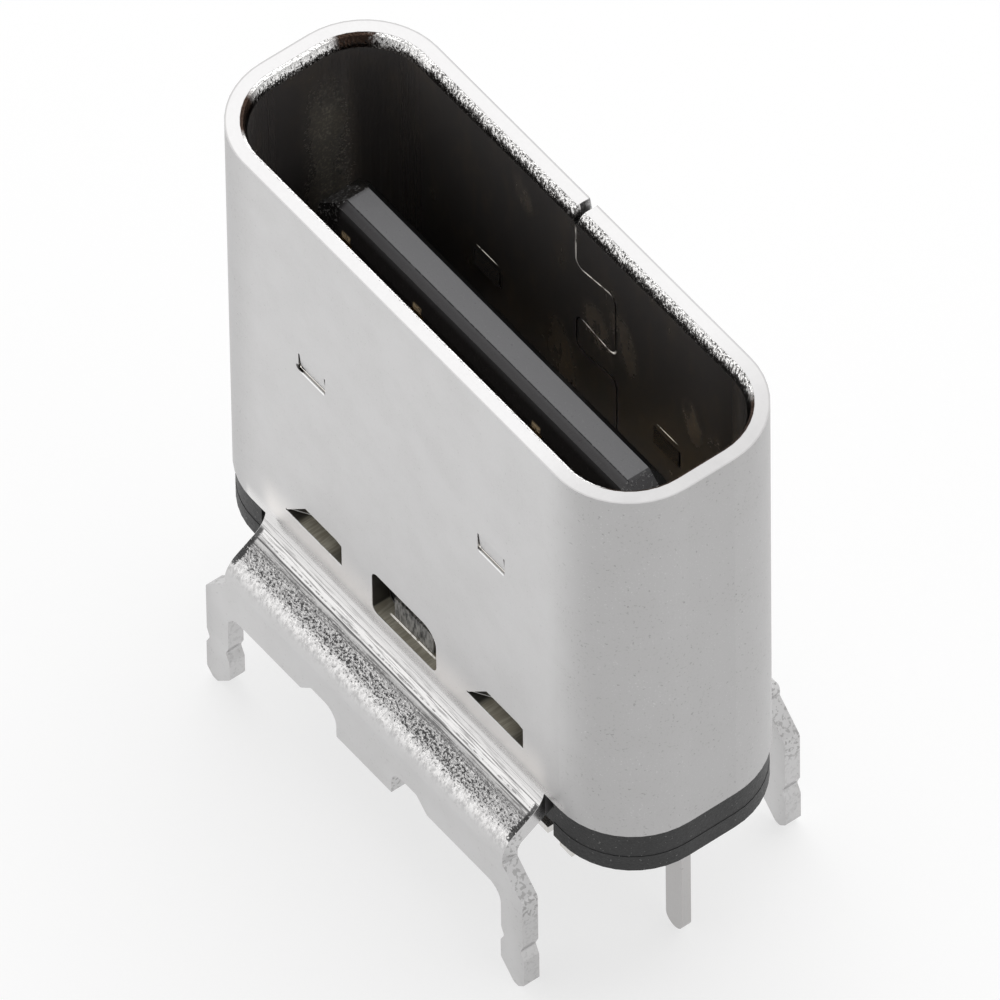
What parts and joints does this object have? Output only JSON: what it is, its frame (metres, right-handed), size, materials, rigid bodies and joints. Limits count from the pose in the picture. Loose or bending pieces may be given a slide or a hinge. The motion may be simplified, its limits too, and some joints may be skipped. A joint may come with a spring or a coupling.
{
  "type": "usb receptacle",
  "caption": "Upright board-mounted receptacle: a rounded metal tube open at the top round a flat contact tongue, on splayed board legs.",
  "frame": {"origin": "centre of the mouth's outline, on the plane of the board's top face, where the middle feet rest", "axes": "+Z out of the board and out of the mouth; +X along the mouth's long side; +Y through its short side, towards the wall with the seam"},
  "size_m": [0.009, 0.0046, 0.01],
  "materials": {
    "shell": "satin nickel plate",
    "housing": "fine matte moulding",
    "tongue": "smooth moulding",
    "plate": "satin",
    "contacts": "gold plate, satin"
  },
  "bodies": {
    "root": {"shell": "shell", "housing": "housing", "tongue": "tongue", "front_contact_block": "tongue", "back_contact_block": "tongue", "mid_plate": "plate", "front_ground_plate": "plate", "back_ground_plate": "plate", "contact_a1": "contacts", "contact_a2": "contacts", "contact_a3": "contacts", "contact_a4": "contacts", "contact_a5": "contacts", "contact_a6": "contacts", "contact_a7": "contacts", "contact_a8": "contacts", "contact_a9": "contacts", "contact_a10": "contacts", "contact_a11": "contacts", "contact_a12": "contacts", "contact_b1": "contacts", "contact_b2": "contacts", "contact_b3": "contacts", "contact_b4": "contacts", "contact_b5": "contacts", "contact_b6": "contacts", "contact_b7": "contacts", "contact_b8": "contacts", "contact_b9": "contacts", "contact_b10": "contacts", "contact_b11": "contacts", "contact_b12": "contacts"}
  },
  "joints": []
}
